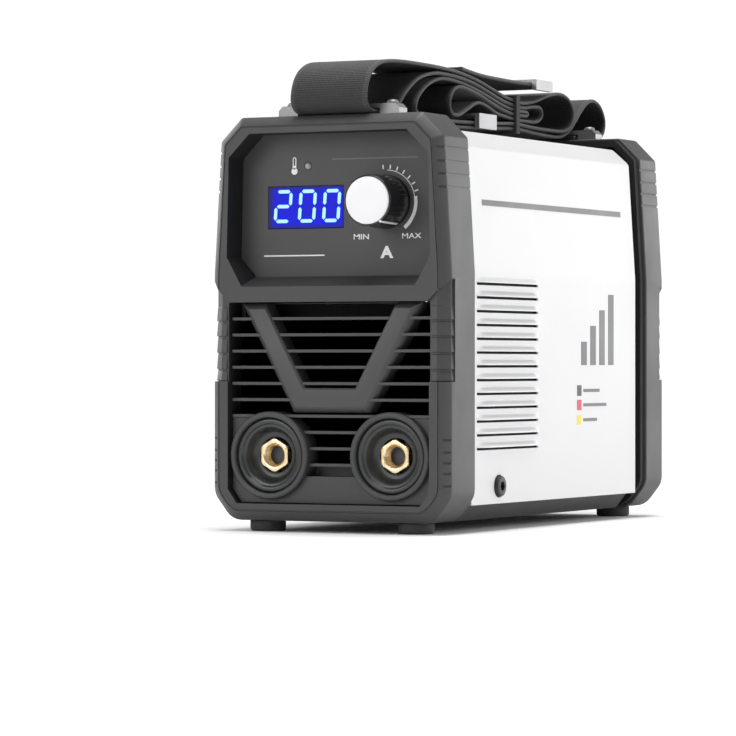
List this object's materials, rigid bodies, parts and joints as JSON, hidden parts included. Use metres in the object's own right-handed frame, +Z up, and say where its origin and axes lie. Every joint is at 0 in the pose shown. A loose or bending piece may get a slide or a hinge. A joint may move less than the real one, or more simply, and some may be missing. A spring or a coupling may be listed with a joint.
{
  "type": "stick welding inverter",
  "caption": "Portable stick welding inverter: white sheet-metal case between two dark bumper rings, with a control panel, output sockets and folded shoulder strap.",
  "frame": {"origin": "centre of the overall bounding box, on the floor plane under the feet", "axes": "+Z up, the control panel and sockets face -Y, +X to the viewer's right when facing the front"},
  "size_m": [0.118, 0.2708, 0.2117],
  "materials": {
    "aluminium": "extruded",
    "black_plastic": "satin",
    "brass": "turned",
    "cap_white": "satin",
    "capacitor_sleeve": "heat-shrink sleeve",
    "circuit_green": "solder resist",
    "copper": "bare copper",
    "dark_plastic": "fine moulded texture",
    "display_blue": "clear over blue",
    "ferrite": "ground",
    "led_lens": "clear",
    "plated_steel": "nickel plated",
    "rocker_red": "glossy",
    "rubber": "matt",
    "webbing": "woven polypropylene",
    "white_enamel": "satin powder coat"
  },
  "bodies": {
    "case": {"base_tray": "dark_plastic", "bracket_screw_front_left": "plated_steel", "bracket_screw_front_right": "plated_steel", "bracket_screw_rear_left": "plated_steel", "bracket_screw_rear_right": "plated_steel", "bus_bar_left": "copper", "bus_bar_right": "copper", "bus_capacitor_1": "capacitor_sleeve", "bus_capacitor_2": "capacitor_sleeve", "bus_capacitor_3": "capacitor_sleeve", "control_board": "circuit_green", "control_panel": "dark_plastic", "display_module": "black_plastic", "display_window": "display_blue", "fan_frame": "black_plastic", "foot_front_left": "rubber", "foot_front_right": "rubber", "foot_rear_left": "rubber", "foot_rear_right": "rubber", "front_ring": "dark_plastic", "gland_nut": "black_plastic", "grille_panel": "dark_plastic", "guard_brace": "dark_plastic", "heat_sink_left": "aluminium", "heat_sink_right": "aluminium", "main_board": "circuit_green", "mains_gland": "black_plastic", "output_choke": "copper", "potentiometer_body": "plated_steel", "potentiometer_nut": "plated_steel", "power_switch_housing": "black_plastic", "rear_grille": "dark_plastic", "rear_panel": "dark_plastic", "rear_ring": "dark_plastic", "rear_seal": "rubber", "shoulder_strap": "webbing", "side_screw_left": "black_plastic", "side_screw_right": "black_plastic", "socket_body_left": "black_plastic", "socket_body_right": "black_plastic", "socket_contact_left": "brass", "socket_contact_right": "brass", "socket_nut_left": "black_plastic", "socket_nut_right": "black_plastic", "strap_bracket_front": "plated_steel", "strap_bracket_rear": "plated_steel", "strap_buckle_front": "plated_steel", "strap_buckle_rear": "plated_steel", "strap_tail": "webbing", "strap_tie": "webbing", "temperature_led": "led_lens", "top_cover": "white_enamel", "transformer_core": "ferrite", "transformer_winding": "copper"},
    "knob": {"knob_body": "black_plastic", "knob_cap": "cap_white", "potentiometer_shaft": "plated_steel"},
    "fan_rotor": {"fan_rotor": "black_plastic"},
    "power_rocker": {"power_rocker": "rocker_red"}
  },
  "joints": [
    {"name": "knob_turn", "type": "hinge", "parent": "case", "child": "knob", "pos_m": [0.0223, -0.1249, 0.146], "axis": [0, 1, 0], "range_deg": [-280, 0]},
    {"name": "fan_spin", "type": "hinge", "parent": "case", "child": "fan_rotor", "pos_m": [0, 0.0781, 0.057], "axis": [0, 1, 0], "continuous": true},
    {"name": "rocker_press", "type": "hinge", "parent": "case", "child": "power_rocker", "pos_m": [-0.024, 0.0971, 0.146], "axis": [-1, 0, 0], "range_deg": [0, 18]}
  ]
}
